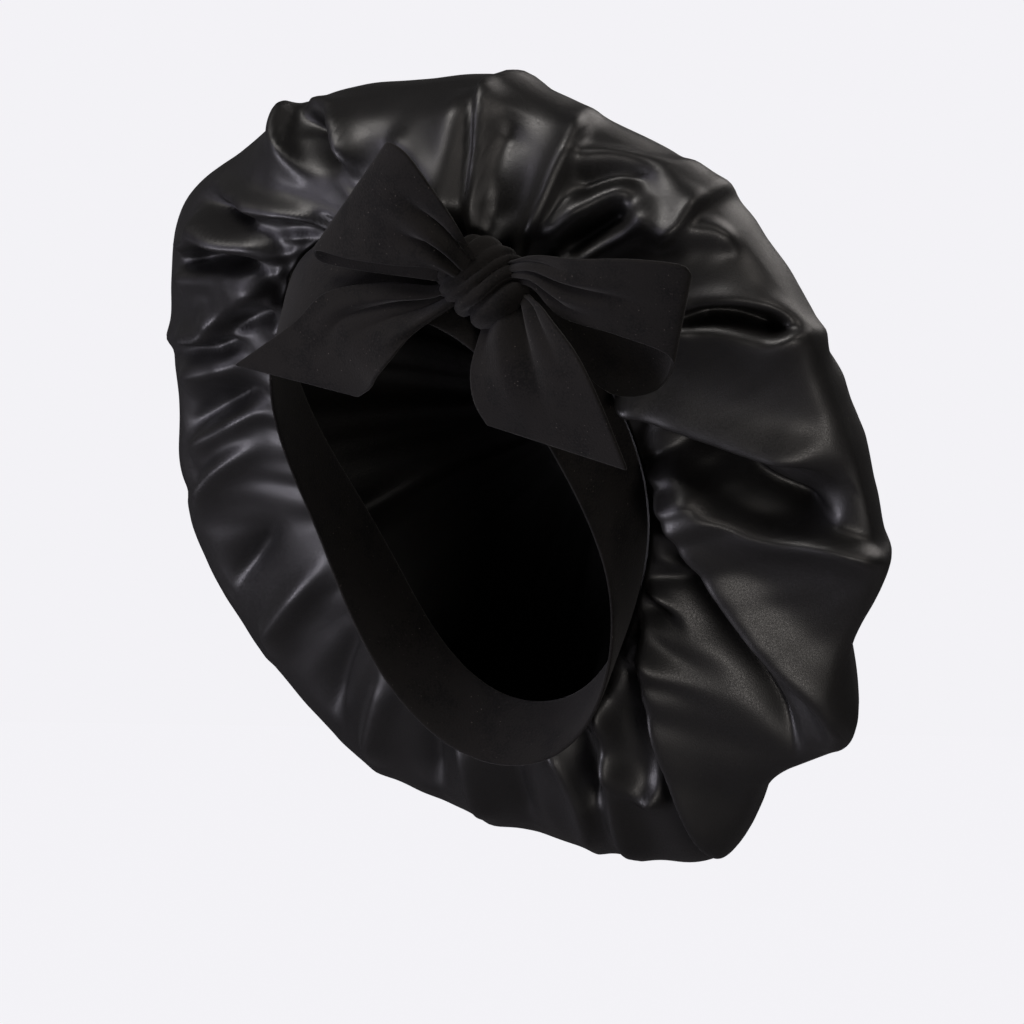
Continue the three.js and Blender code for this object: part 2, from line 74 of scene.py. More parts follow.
# Shape of one fold. Widths and rises in FOLDS are scaled by these shares on the near side, the
# wearer's left, and on the far side. A flank broader than BROAD_FLANK carries a narrower crest, and a
# ridge leans towards its narrower flank. A fold grows and fades between these shares of its path,
# and acts out to FOLD_REACH times its broader width.
NEAR_WIDTH_SHARE = 0.86
FAR_WIDTH_SHARE = 0.68
FAR_RISE_SHARE = 1.2
RIDGE_SHARPNESS = 1.9
DENT_SHARPNESS = 1.35
BROAD_FLANK = 10 * MM
CREST_WIDTH = 0.36
CREST_SHARE = 0.5
RIDGE_LEAN = 0.45
FOLD_START = (-0.02, 0.22)
FOLD_END = (0.72, 1.02)
FOLD_REACH = 3.2
PATH_STEPS = 6
PATH_BLEND = 0.15

# Folds flatten where the cloth turns over the rim. Each pair is where a change starts and where it
# is complete, in degrees round the opening or in how far out, as in FOLDS.
FAR_SIDE_FROM = (165, 190)
FAR_SIDE_TO = (326, 342)
RIM_CALM = 0.75
FAR_CALM_FROM = (0.5, 0.72)
BUMP_CALM_FROM = (0.6, 0.92)
RIM_CALM_TO = (1.1, 1.3)
NEAR_RIM_CALM = 0.55
NEAR_CALM_FROM = (0.8, 1)
NEAR_CALM_TO = (1.35, 1.6)
FLAT_AT_BAND = (0, 0.06)
FLAT_AT_BACK = (1.6, 1.95)

# Fine gathers at the band, deeper and longer beside the knot
GATHERS = 46
GATHER_RISE = 2.6 * MM
GATHER_DEPTH = 0.75
GATHER_REACH = 0.2
GATHER_FADE = 1.5
GATHER_SHARPNESS = 1.6
GATHER_SWAY = 1.1
KNOT_PULL_OFFSET = 0.1
KNOT_PULL_WIDTH = 0.45
KNOT_PULL_REACH = 0.12
KNOT_PULL_DEPTH = 0.6

# Unevenness of the gathers: waves to a turn, height as a share, and start in radians
SWAY_WAVES = (
    dict(waves=3, share=0.5, start=1.0),
    dict(waves=7, share=0.4, start=2.0),
    dict(waves=13, share=0.25, start=0.0),
)
REACH_WAVES = (
    dict(waves=5, share=0.07, start=0.7),
    dict(waves=11, share=0.04, start=0.0),
)
DEPTH_WAVES = (
    dict(waves=9, share=0.25, start=0.4),
)

# Short pleats
PLEAT_FLANK = 3.6 * MM
PLEAT_SHARPNESS = 1.5
PLEAT_FADE = (0.35, 1)

# Soft bumps of the loose cloth: lumps to the radius round the crown, lumps from band to rim, height
# as a share of UNDULATION, and a shift that keeps the layers apart
UNDULATION = 4.0 * MM
BUMP_LAYERS = (
    dict(around=7, outwards=2.2, share=1.0, shift=0),
    dict(around=17, outwards=4.0, share=0.2, shift=9),
)

# Band mesh, and how square its two faces and two edges are: less is squarer
BAND_COLUMNS = 360
BAND_ROWS = 26
BAND_EDGE_POWER = 0.5
BAND_FACE_POWER = 0.4

# Bow
STRAP_WIDTH = 68 * MM
STRAP_THICKNESS = 2.2 * MM
LOOP_REACH = 80 * MM
TAIL_REACH = 100 * MM
BOW_DEPTH = 30 * MM
KNOT_LENGTH = 42 * MM
KNOT_WIDTH = 36 * MM
KNOT_HEIGHT = 30 * MM
KNOT_ANGLE = math.radians(24)
KNOT_SEAM_SETBACK = 0.5 * MM
KNOT_SINK = 0.12
KNOT_FULLNESS = 1.1
KNOT_SQUARENESS = 2.6
KNOT_SEGMENTS = 96
KNOT_RINGS = 64
STRAP_STEPS = 9
STRAP_COLUMNS = 41
CREASE_SHARPNESS = 1.5
CREASE_FADE = (0.35, 1)

# Wraps of the knot, on a unit ball: they lie aslant, bend along their length and differ in width.
# The wrapped part ends at a deep groove, and past it one broad turn of cloth stands proud.
WRAP_SLANT = math.radians(-25)
WRAP_BEND = dict(height=0.1, waves=2.5, start=0.5)
WRAP_UNEVENNESS = dict(height=0.03, waves=9, start=1)
WRAP_FOLDS = dict(rise=2.6 * MM, waves=11.5, start=0.4, power=0.55, level=0.75)
WRAP_FROM = (-0.45, -0.3)
WRAP_GROOVE = dict(place=0.4, width=0.06, depth=4 * MM)
WRAP_TURN = dict(place=0.7, width=0.25, rise=1.5 * MM)

SIDE = np.array([1.0, 0.0, 0.0])
UP = np.array([0.0, -math.sin(OPENING_LEAN), math.cos(OPENING_LEAN)])
BACK = np.array([0.0, math.cos(OPENING_LEAN), math.sin(OPENING_LEAN)])

# Rim of the crown, every 15 degrees from the forehead towards the wearer's left, as shares of
# CROWN_RADIUS
RIM_SHARES = (
    1.02, 1.05, 1.02, 1.02, 0.98, 0.94, 0.92, 0.92, 0.86, 0.93, 0.88, 0.99,
    0.96, 0.94, 0.96, 1.00, 0.99, 1.00, 0.98, 0.94, 0.97, 1.03, 1.01, 1.02,
)

# Folds of the crown. path is a chain of places: degrees from the forehead towards the wearer's
# left, and how far out, 0 at the band, 1 at the rim, 2 at the middle of the back. rise is in mm,
# up for a ridge and down for a dent; left and right are the widths of its two flanks in mm, seen
# from the front, looking along the path.
FOLDS = (
    # over the forehead
    dict(path=((19, 0.05), (18, 0.38), (16, 0.67), (14, 0.92), (15, 1.1), (16, 1.4)),
         rise=13, left=5, right=13),
    dict(path=((21, 0.1), (19, 0.45), (19, 0.8)), rise=-9, left=7, right=14),
    dict(path=((15, 0.12), (13, 0.4), (11, 0.9)), rise=9, left=22, right=10),
    dict(path=((17, 0.05), (12, 0.28), (6, 0.46), (2, 0.56)), rise=11, left=7, right=18),
    dict(path=((13, 0.06), (9, 0.24), (4, 0.4)), rise=-10, left=9, right=7),
    dict(path=((344, 0.96), (350, 0.82), (353, 0.67), (356, 0.46), (358, 0.3)),
         rise=14, left=20, right=7),
    dict(path=((347, 0.9), (350, 0.72), (351, 0.55), (354, 0.38)), rise=-13, left=11, right=14),
    dict(path=((342, 1.0), (342, 0.84), (343, 0.6), (347, 0.34)), rise=12, left=7, right=22),
    # upper right side of the head
    dict(path=((323, 0.84), (326, 0.73), (331, 0.52), (337, 0.34), (344, 0.2), (350, 0.1)),
         rise=12, left=9, right=6),
    dict(path=((322, 0.8), (326, 0.62), (330, 0.46), (335, 0.3)), rise=-13, left=8, right=6),
    dict(path=((321, 0.7), (323, 0.57), (327, 0.41), (333, 0.22), (338, 0.06)),
         rise=9, left=7, right=9),
    dict(path=((312, 0.72), (314, 0.65), (318, 0.56), (323, 0.47), (329, 0.3), (336, 0.08)),
         rise=13, left=13, right=6),
    dict(path=((311, 0.68), (315, 0.53), (320, 0.41), (326, 0.28), (332, 0.14)),
         rise=-15, left=7, right=7),
    dict(path=((308, 0.7), (312, 0.52), (316, 0.4), (323, 0.27), (331, 0.12)),
         rise=11, left=6, right=14),
    dict(path=((306, 0.45), (311, 0.33), (318, 0.23), (325, 0.14), (331, 0.05)),
         rise=10, left=12, right=6),
    dict(path=((303, 0.4), (310, 0.28), (318, 0.14), (323, 0.05)), rise=-11, left=6, right=8),
    dict(path=((293, 1.04), (296, 0.8), (302, 0.5), (308, 0.32), (315, 0.14)),
         rise=14, left=10, right=7),
    dict(path=((292, 0.95), (296, 0.66), (303, 0.4), (310, 0.2)), rise=-9, left=7, right=9),
    dict(path=((289, 0.76), (292, 0.64), (299, 0.4), (307, 0.18)), rise=11, left=14, right=12),
    dict(path=((281, 0.76), (284, 0.62), (290, 0.42), (301, 0.17)), rise=-14, left=16, right=6),
    dict(path=((277, 0.7), (280, 0.59), (287, 0.38), (297, 0.16)), rise=11, left=6, right=18),
    # lower right side of the head
    dict(path=((264, 0.82), (266, 0.7), (271, 0.58), (277, 0.44), (287, 0.22)),
         rise=13, left=8, right=18),
    dict(path=((268, 0.95), (271, 0.78), (276, 0.6)), rise=-10, left=12, right=10),
    dict(path=((252, 0.8), (255, 0.66), (259, 0.48), (266, 0.28)), rise=-12, left=14, right=16),
    dict(path=((242, 0.86), (245, 0.66), (250, 0.4), (257, 0.12)), rise=13, left=20, right=14),
    dict(path=((228, 0.9), (233, 0.5), (240, 0.14)), rise=-9, left=14, right=14),
    dict(path=((220, 0.95), (223, 0.55), (229, 0.1)), rise=9, left=18, right=14),
    dict(path=((209, 0.9), (212, 0.5), (216, 0.12)), rise=-9, left=14, right=12),
    dict(path=((201, 0.95), (202, 0.5), (206, 0.1)), rise=8, left=16, right=14),
    dict(path=((195, 0.95), (194, 0.5), (194, 0.1)), rise=-8, left=12, right=12),
    # over the wearer's left temple
    dict(path=((25, 0.08), (27, 0.37), (27, 0.67), (26, 0.97), (25, 1.2)),
         rise=13, left=16, right=6),
    dict(path=((27, 0.62), (31, 0.77), (36, 0.92), (40, 1.06), (42, 1.3)), rise=9, left=7, right=9),
    dict(path=((30, 0.5), (34, 0.72), (39, 0.9)), rise=-9, left=8, right=8),
    dict(path=((29, 0.18), (32, 0.44), (35, 0.64), (38, 0.78)), rise=10, left=7, right=7),
    dict(path=((32, 0.22), (36, 0.46), (38, 0.62)), rise=-10, left=6, right=6),
    dict(path=((34, 0.16), (38, 0.41), (40, 0.58), (39, 0.74)), rise=10, left=7, right=8),
    dict(path=((43, 0.5), (44, 0.68), (44, 0.86), (45, 1.1), (46, 1.4)), rise=14, left=26, right=6),
    dict(path=((44, 0.55), (47, 0.75), (50, 0.86), (52, 0.8)), rise=8, left=7, right=9),
    dict(path=((48, 0.3), (52, 0.45), (55, 0.6), (59, 0.77), (63, 0.92), (67, 1.06), (69, 1.3)),
         rise=12, left=14, right=6),
    dict(path=((53, 0.38), (57, 0.54), (62, 0.7), (65, 0.84)), rise=-16, left=8, right=8),
    dict(path=((51, 0.25), (55, 0.37), (59, 0.52), (65, 0.71), (67, 0.91), (69, 1.08), (71, 1.35)),
         rise=13, left=6, right=26),
    # over the wearer's left ear
    dict(path=((52, 0.03), (57, 0.08), (64, 0.2), (72, 0.34), (78, 0.49), (82, 0.64), (87, 0.78)),
         rise=19, left=36, right=7),
    dict(path=((68, 0.12), (77, 0.27), (86, 0.39), (92, 0.54), (95, 0.7)),
         rise=-22, left=11, right=12),
    dict(path=((72, 0.08), (82, 0.2), (90, 0.29), (96, 0.43), (98, 0.65), (102, 1.0), (104, 1.3)),
         rise=17, left=5, right=28),
    dict(path=((72, 0.02), (80, 0.1), (88, 0.17), (100, 0.24), (110, 0.36),
               (118, 0.56), (123, 0.76), (129, 0.92), (135, 1.05), (138, 1.3)),
         rise=25, left=34, right=11),
    dict(path=((96, 0.03), (112, 0.12), (123, 0.27), (130, 0.43), (136, 0.62), (142, 0.85)),
         rise=-20, left=12, right=20),
    dict(path=((88, 0.03), (98, 0.08), (106, 0.15)), rise=7, left=5, right=5),
    dict(path=((102, 0.1), (109, 0.2), (113, 0.28)), rise=6, left=5, right=5),
    # behind the wearer's left ear to the nape
    dict(path=((130, 0.03), (139, 0.12), (148, 0.26), (156, 0.47), (161, 0.72), (165, 1.05)),
         rise=16, left=34, right=5),
    dict(path=((140, 0.05), (148, 0.15), (156, 0.3), (162, 0.5)), rise=-14, left=5, right=9),
    dict(path=((149, 0.04), (161, 0.1), (169, 0.28), (174, 0.55), (178, 0.95)),
         rise=12, left=8, right=7),
    dict(path=((166, 0.16), (166, 0.33), (163, 0.44)), rise=8, left=6, right=6),
    dict(path=((165, 0.42), (160, 0.36), (151, 0.22)), rise=7, left=6, right=6),
    dict(path=((184, 0.06), (179, 0.2), (179, 0.4), (183, 0.7), (186, 1.05)),
         rise=10, left=8, right=14),
    dict(path=((172, 0.06), (173, 0.2), (176, 0.38)), rise=-11, left=7, right=7),
    # the back of the crown
    dict(path=((20, 1.1), (17, 1.35), (12, 1.7)), rise=-7, left=20, right=24),
    dict(path=((72, 1.05), (70, 1.3), (66, 1.7)), rise=-9, left=24, right=22),
    dict(path=((118, 0.95), (121, 1.3), (124, 1.65)), rise=-11, left=26, right=22),
    dict(path=((152, 1.05), (149, 1.3), (147, 1.6)), rise=-9, left=22, right=22),
    dict(path=((198, 1.0), (196, 1.3), (192, 1.6)), rise=-9, left=22, right=22),
    dict(path=((250, 1.0), (253, 1.3), (256, 1.65)), rise=-9, left=24, right=24),
    dict(path=((292, 1.1), (290, 1.3), (287, 1.6)), rise=-8, left=22, right=22),
    dict(path=((328, 1.05), (330, 1.3), (333, 1.65)), rise=-9, left=22, right=24),
)

# Short pleats gathered at the band: at and to are degrees at the band and at the pleat's end, out
# is how far it reaches, rise is in mm.
PLEATS = (
    dict(at=-14, to=-24, out=0.2, rise=5),
    dict(at=-9, to=-19, out=0.3, rise=6),
    dict(at=-4, to=-14, out=0.24, rise=5),
    dict(at=1, to=-8, out=0.34, rise=6),
    dict(at=6, to=-1, out=0.26, rise=5),
    dict(at=10, to=7, out=0.4, rise=6),
    dict(at=14, to=12, out=0.3, rise=5),
    dict(at=18, to=19, out=0.42, rise=5),
    dict(at=22, to=24, out=0.32, rise=6),
    dict(at=26, to=30, out=0.4, rise=5),
    dict(at=29, to=35, out=0.28, rise=5),
    dict(at=33, to=42, out=0.38, rise=6),
    dict(at=37, to=48, out=0.26, rise=5),
    dict(at=41, to=54, out=0.3, rise=5),
    dict(at=46, to=58, out=0.22, rise=5),
    dict(at=-20, to=-32, out=0.26, rise=5),
    dict(at=-26, to=-37, out=0.34, rise=6),
    dict(at=-32, to=-43, out=0.26, rise=5),
    dict(at=-39, to=-50, out=0.3, rise=5),
    dict(at=-46, to=-56, out=0.24, rise=5),
    dict(at=80, to=88, out=0.14, rise=4),
    dict(at=88, to=98, out=0.18, rise=5),
    dict(at=97, to=108, out=0.16, rise=5),
    dict(at=107, to=118, out=0.2, rise=5),
    dict(at=118, to=128, out=0.22, rise=5),
    dict(at=130, to=139, out=0.2, rise=5),
    dict(at=143, to=151, out=0.24, rise=5),
    dict(at=157, to=163, out=0.2, rise=5),
)

# Strap sections from the knot outwards: reach as a share of the loop's or tail's length, heading
# from the wearer's left towards the forehead, spread as a share of STRAP_WIDTH, lean of the width,
# tilt of that lean back into the crown, and front as a share of BOW_DEPTH. Angles in degrees.
TAIL_RIGHT = (
    dict(reach=0.07, heading=172, spread=0.24, lean=72, tilt=45, front=0.3),
    dict(reach=0.24, heading=190, spread=0.4, lean=64, tilt=46, front=0.7),
    dict(reach=0.43, heading=188, spread=0.58, lean=105, tilt=34, front=1.0),
    dict(reach=0.64, heading=190, spread=0.75, lean=127, tilt=20, front=1.12),
    dict(reach=0.82, heading=196, spread=0.8, lean=144, tilt=10, front=1.15),
    dict(reach=1.11, heading=199, spread=1.08, lean=166, tilt=0, front=1.15),
)
TAIL_LEFT = (
    dict(reach=0.08, heading=330, spread=0.22, lean=158, tilt=0, front=-0.05),
    dict(reach=0.19, heading=330, spread=0.42, lean=186, tilt=0, front=0.18),
    dict(reach=0.29, heading=319, spread=0.7, lean=190, tilt=0, front=0.52),
    dict(reach=0.43, heading=308, spread=0.98, lean=186, tilt=0, front=0.76),
    dict(reach=0.61, heading=298, spread=1.1, lean=179, tilt=0, front=0.82),
    dict(reach=0.86, heading=291, spread=1.18, lean=161, tilt=0, front=0.74),
)
LOOP_RIGHT = (
    dict(reach=0.08, heading=83, spread=0.18, lean=72, tilt=20, front=0.22),
    dict(reach=0.36, heading=94, spread=0.38, lean=54, tilt=15, front=0.64),
    dict(reach=0.57, heading=111, spread=0.73, lean=53, tilt=10, front=0.76),
    dict(reach=0.78, heading=122, spread=1.06, lean=48, tilt=5, front=0.76),
    dict(reach=0.95, heading=133, spread=1.27, lean=42, tilt=0, front=0.55),
    dict(reach=0.91, heading=141, spread=1.27, lean=43, tilt=0, front=0.28),
    dict(reach=0.64, heading=138, spread=0.98, lean=42, tilt=0, front=0.34),
    dict(reach=0.34, heading=120, spread=0.53, lean=53, tilt=10, front=0.4),
    dict(reach=0.1, heading=104, spread=0.2, lean=62, tilt=10, front=0.2),
)
LOOP_LEFT = (
    dict(reach=0.18, heading=16, spread=0.16, lean=84, tilt=0, front=-0.1),
    dict(reach=0.42, heading=11, spread=0.28, lean=70, tilt=0, front=0.1),
    dict(reach=0.69, heading=0, spread=0.54, lean=58, tilt=0, front=0.28),
    dict(reach=1.07, heading=356, spread=0.68, lean=61, tilt=0, front=0.24),
    dict(reach=1.38, heading=351, spread=0.8, lean=64, tilt=0, front=0.04),
    dict(reach=1.28, heading=341, spread=0.98, lean=60, tilt=0, front=-0.14),
    dict(reach=0.98, heading=332, spread=0.94, lean=60, tilt=0, front=-0.14),
    dict(reach=0.67, heading=331, spread=0.64, lean=60, tilt=0, front=-0.1),
    dict(reach=0.36, heading=341, spread=0.34, lean=66, tilt=0, front=-0.1),
    dict(reach=0.12, heading=352, spread=0.18, lean=72, tilt=0, front=0.0),
)

# Creases along the straps: at and to are places across the strap, -1 to 1, at the knot and where
# the crease ends, until that end as a share of the strap's length, rise in mm towards the viewer,
# width as a share of half the strap.
LOOP_LEFT_CREASES = (
    dict(at=0.1, to=-0.1, until=0.42, rise=-6, width=0.16),
    dict(at=0.35, to=0.2, until=0.36, rise=4, width=0.22),
    dict(at=0.6, to=0.5, until=0.25, rise=-4, width=0.14),
    dict(at=-0.15, to=-0.4, until=0.36, rise=4, width=0.2),
    dict(at=-0.5, to=-0.7, until=0.32, rise=-5, width=0.16),
)
LOOP_RIGHT_CREASES = (
    dict(at=0.3, to=0.35, until=0.4, rise=-6, width=0.16),
    dict(at=0.0, to=0.05, until=0.38, rise=5, width=0.2),
    dict(at=-0.35, to=-0.25, until=0.34, rise=-6, width=0.16),
    dict(at=-0.7, to=-0.6, until=0.3, rise=3, width=0.2),
)
TAIL_LEFT_CREASES = (
    dict(at=-0.1, to=-0.1, until=0.9, rise=-8, width=0.16),
    dict(at=0.3, to=0.35, until=1.0, rise=6, width=0.34),
    dict(at=-0.55, to=-0.6, until=0.7, rise=-5, width=0.14),
    dict(at=0.7, to=0.75, until=0.6, rise=-4, width=0.14),
)
TAIL_RIGHT_CREASES = (
    dict(at=0.45, to=0.3, until=0.9, rise=-6, width=0.16),
    dict(at=0.0, to=-0.05, until=0.7, rise=-5, width=0.16),
    dict(at=0.75, to=0.6, until=0.8, rise=5, width=0.2),
    dict(at=-0.5, to=-0.5, until=0.6, rise=4, width=0.25),
)


# Shapes shared by the pieces

def smoothstep(x, low, high):
    t = np.clip((x - low) / (high - low), 0, 1)
    return t * t * (3 - 2 * t)


def lerp(a, b, t):
    return a + (b - a) * t


def around_head(angle, radius, depth):
    """Places round the opening, in the object's frame."""
    across = (radius * np.sin(angle))[..., None] * SIDE
    return across + np.asarray(depth)[..., None] * BACK + (radius * np.cos(angle))[..., None] * UP


def opening_radius(angle):
    upward = np.cos(angle)
    squareness = np.where(upward > 0, TOP_SQUARENESS, BOTTOM_SQUARENESS)
    reach = np.where(upward > 0, OPENING_TOP, OPENING_BOTTOM)
    sideways = np.abs(np.sin(angle) / OPENING_HALF_WIDTH) ** squareness
    return (sideways + np.abs(upward / reach) ** squareness) ** (-1 / squareness)


def band_width(angle):
    return lerp(BAND_NAPE_WIDTH, BAND_FRONT_WIDTH, (1 + np.cos(angle)) / 2)


def band_section(angle, across, lift):
    """Radius and depth on the band: across from its face edge, 0, to its seam edge, 1."""
    flare = BAND_FLARE + BAND_END_FLARE * np.cos(angle)
    run = across * band_width(angle)
    edge = -BAND_SET_FORWARD - BAND_BROW_LEAD * np.cos(angle) - BAND_EAR_DIP * np.cos(2 * angle)
    radius = opening_radius(angle) + run * np.sin(flare) + lift * np.cos(flare)
    return radius, edge + run * np.cos(flare) - lift * np.sin(flare)


def rim_share(angle):
    """A smooth closed curve through the rim's shares."""
    shares = np.array(RIM_SHARES)
    place = (angle / (2 * math.pi)) % 1 * len(shares)
    first = np.floor(place).astype(int)
    t = place - first
    p0, p1, p2, p3 = (shares[(first + k) % len(shares)] for k in (-1, 0, 1, 2))
    bend = (2 * p0 - 5 * p1 + 4 * p2 - p3) * t ** 2 + (3 * p1 - p0 - 3 * p2 + p3) * t ** 3
    return p1 + 0.5 * ((p2 - p0) * t + bend)


def crown_section(angle, out):
    """Radius, depth and outward direction of the plain crown; arrays of one shape."""
    rim = CROWN_RADIUS * rim_share(angle)
    seam_radius, seam_depth = band_section(angle, 1.0, BAND_THICKNESS)
    seam_radius = seam_radius + FIT_GAP
    turn = np.clip(out, 0, 1) * math.pi / 2
    wide, deep = rim - seam_radius, RIM_DEPTH - seam_depth
    front = (seam_radius + wide * np.sin(turn), seam_depth + deep * (1 - np.cos(turn)),
             deep * np.sin(turn), -wide * np.cos(turn))
    turn = np.clip(out - 1, 0, 1) * math.pi / 2
    share_out = np.clip(np.cos(turn), 0, 1) ** (2 / BACK_SQUARENESS)
    share_back = np.sin(turn) ** (2 / BACK_SQUARENESS)
    slope = BACK_SQUARENESS - 1
    back = (rim * share_out, RIM_DEPTH + BACK_DEPTH * share_back,
            share_out ** slope / rim, share_back ** slope / BACK_DEPTH)
    radius, depth, outward, backward = (np.where(out <= 1, f, b) for f, b in zip(front, back))
    length = np.hypot(outward, backward)
    return radius, depth, outward / length, backward / length


def crown_point(angle, out, rise=0.0):
    radius, depth, outward, backward = crown_section(angle, out)
    return around_head(angle, radius + rise * outward, depth + rise * backward)


def smooth_chain(points, steps):
    """A Catmull-Rom curve through points, with steps rows to each stretch."""
    points = np.asarray(points, dtype=float)
    ends = np.vstack([2 * points[0] - points[1], points, 2 * points[-1] - points[-2]])
    rows = []
    for k in range(len(points) - 1):
        p0, p1, p2, p3 = ends[k:k + 4]
        for t in np.arange(steps) / steps:
            rows.append(0.5 * (2 * p1 + (p2 - p0) * t + (2 * p0 - 5 * p1 + 4 * p2 - p3) * t ** 2
                               + (3 * p1 - p0 - 3 * p2 + p3) * t ** 3))
    rows.append(points[-1])
    return np.array(rows)


# Mesh helpers

def make_object(name, vertices, faces):
    mesh = bpy.data.meshes.new(name)
    mesh.from_pydata([tuple(v) for v in vertices], [], faces)
    mesh.validate()
    mesh.update()
    obj = bpy.data.objects.new(name, mesh)
    bpy.context.scene.collection.objects.link(obj)
    for face in mesh.polygons:
        face.use_smooth = True
    return obj


def grid_faces(rows, columns, closed):
    faces = []
    for r in range(rows - 1):
        for c in range(columns if closed else columns - 1):
            d = (c + 1) % columns
            faces.append((r * columns + c, r * columns + d, (r + 1) * columns + d, (r + 1) * columns + c))
    return faces


def only(obj):
    bpy.ops.object.select_all(action="DESELECT")
    obj.select_set(True)
    bpy.context.view_layer.objects.active = obj


def apply_modifiers(obj):
    only(obj)
    for modifier in list(obj.modifiers):
        bpy.ops.object.modifier_apply(modifier=modifier.name)


def face_outwards(obj):
    only(obj)
    bpy.ops.object.mode_set(mode="EDIT")
    bpy.ops.mesh.select_all(action="SELECT")
    bpy.ops.mesh.normals_make_consistent(inside=False)
    bpy.ops.object.mode_set(mode="OBJECT")


# Crown

def near_path(places, directions, chain, blend):
    """Distance of each place to a chain, side of it, share along it, and the way to its right.

    A curved chain has several near stretches on its hollow side, so they are blended.
    """
    nearest = np.full(len(places), np.inf)
    side = np.zeros(len(places))
    distances, alongs, rightwards = [], [], []
    for k in range(len(chain) - 1):
        run = chain[k + 1] - chain[k]
        offset = places - chain[k]
        t = np.clip(offset @ run / (run @ run), 0, 1)
        apart = offset - t[:, None] * run
        distance = np.linalg.norm(apart, axis=1)
        rightward = np.cross(run / np.linalg.norm(run), directions)
        facing = np.sign(np.einsum("ij,ij->i", rightward, apart))
        side = np.where(distance < nearest, facing, side)
        nearest = np.minimum(nearest, distance)
        distances.append(distance)
        alongs.append((k + t) / (len(chain) - 1))
        rightwards.append(rightward)
    weights = np.exp(-(np.array(distances) - nearest) / blend)
    weights /= weights.sum(axis=0)
    along = (weights * alongs).sum(axis=0)
    return nearest, side, along, (weights[..., None] * rightwards).sum(axis=0)


def fold_profile(distance, flank, sharpness):
    """Height across a fold, as a share of its rise."""
    slope = np.exp(-(distance / flank) ** sharpness)
    crest = np.exp(-(distance / (CREST_WIDTH * flank)) ** sharpness)
    return np.where(flank > BROAD_FLANK, lerp(slope, crest, CREST_SHARE), slope)


def fold_moves(places, directions):
    """How far each place on the plain crown moves, for all the folds."""
    moves = np.zeros_like(places)
    for fold in FOLDS:
        left, right, ridge = fold["left"], fold["right"], fold["rise"] > 0
        path = smooth_chain(fold["path"], PATH_STEPS)
        on_far_side = path[0, 0] > 180
        turns = np.where(path[:, 0] - path[0, 0] > 180, path[:, 0] - 360, path[:, 0])
        chain = crown_point(np.radians(turns), path[:, 1])
        broader = max(left, right) * MM
        low, high = chain.min(axis=0) - FOLD_REACH * broader, chain.max(axis=0) + FOLD_REACH * broader
        near = np.flatnonzero(np.all((places > low) & (places < high), axis=1))
        distance, side, along, rightward = near_path(
            places[near], directions[near], chain, PATH_BLEND * broader)
        flank = np.where(side < 0, left, right) * MM
        flank *= FAR_WIDTH_SHARE if on_far_side else NEAR_WIDTH_SHARE
        taper = smoothstep(along, *FOLD_START) * (1 - smoothstep(along, *FOLD_END))
        rise = fold["rise"] * MM * taper * (FAR_RISE_SHARE if on_far_side else 1)
        rise = rise * fold_profile(distance, flank, RIDGE_SHARPNESS if ridge else DENT_SHARPNESS)
        moves[near] += rise[:, None] * directions[near]
        if ridge:
            lean = RIDGE_LEAN * (left - right) / (left + right)
            moves[near] += (lean * rise)[:, None] * rightward
    return moves


def pleat_rise(angle, out):
    """How far the short pleats lift the cloth near the band."""
    rise = np.zeros_like(angle)
    radius = crown_section(angle, out)[0]
    for pleat in PLEATS:
        run = np.clip(out / pleat["out"], 0, 1)
        line = np.radians(lerp(pleat["at"], pleat["to"], run))
        apart = (angle - line + math.pi) % (2 * math.pi) - math.pi
        height = pleat["rise"] * MM * (1 - smoothstep(run, *PLEAT_FADE))
        rise += height * np.exp(-np.abs(apart * radius / PLEAT_FLANK) ** PLEAT_SHARPNESS)
    return rise


def wave_sum(waves, angle):
    return sum(wave["share"] * np.sin(wave["waves"] * angle + wave["start"]) for wave in waves)


def gather_rise(angle, out):
    """The fine gathers at the band."""
    pull = np.exp(-((angle - KNOT_ANGLE - KNOT_PULL_OFFSET) / KNOT_PULL_WIDTH) ** 2)
    reach = GATHER_REACH + wave_sum(REACH_WAVES, angle) + KNOT_PULL_REACH * pull
    depth = GATHER_DEPTH + wave_sum(DEPTH_WAVES, angle) + KNOT_PULL_DEPTH * pull
    sway = GATHER_SWAY * wave_sum(SWAY_WAVES, angle)
    wave = 1 - 2 * np.abs(np.sin(GATHERS / 2 * angle + sway)) ** GATHER_SHARPNESS
    return -GATHER_RISE * depth * wave * np.exp(-(out / reach) ** GATHER_FADE)


def bump_rise(angle, out):
    """The soft bumps of the loose cloth between the folds."""
    rise = np.zeros_like(angle)
    for layer in BUMP_LAYERS:
        east, north = layer["around"] * np.cos(angle), layer["around"] * np.sin(angle)
        along = layer["shift"] + layer["outwards"] * out
        lumps = np.array([noise.noise(place) for place in zip(east, north, along)])
        rise += layer["share"] * UNDULATION * lumps
    return rise


def calm_shares(angle, out):
    """How much is left of the folds and of the finer bumps; the far rim has broad smooth bulges."""
    degrees = np.degrees(angle)
    far_side = smoothstep(degrees, *FAR_SIDE_FROM) * (1 - smoothstep(degrees, *FAR_SIDE_TO))
    over_rim = 1 - smoothstep(out, *RIM_CALM_TO)
    near_rim = smoothstep(out, *NEAR_CALM_FROM) * (1 - smoothstep(out, *NEAR_CALM_TO))
    folds = 1 - RIM_CALM * far_side * smoothstep(out, *FAR_CALM_FROM) * over_rim
    folds *= 1 - NEAR_RIM_CALM * (1 - far_side) * near_rim
    bumps = 1 - RIM_CALM * smoothstep(out, *BUMP_CALM_FROM) * over_rim
    return folds, bumps


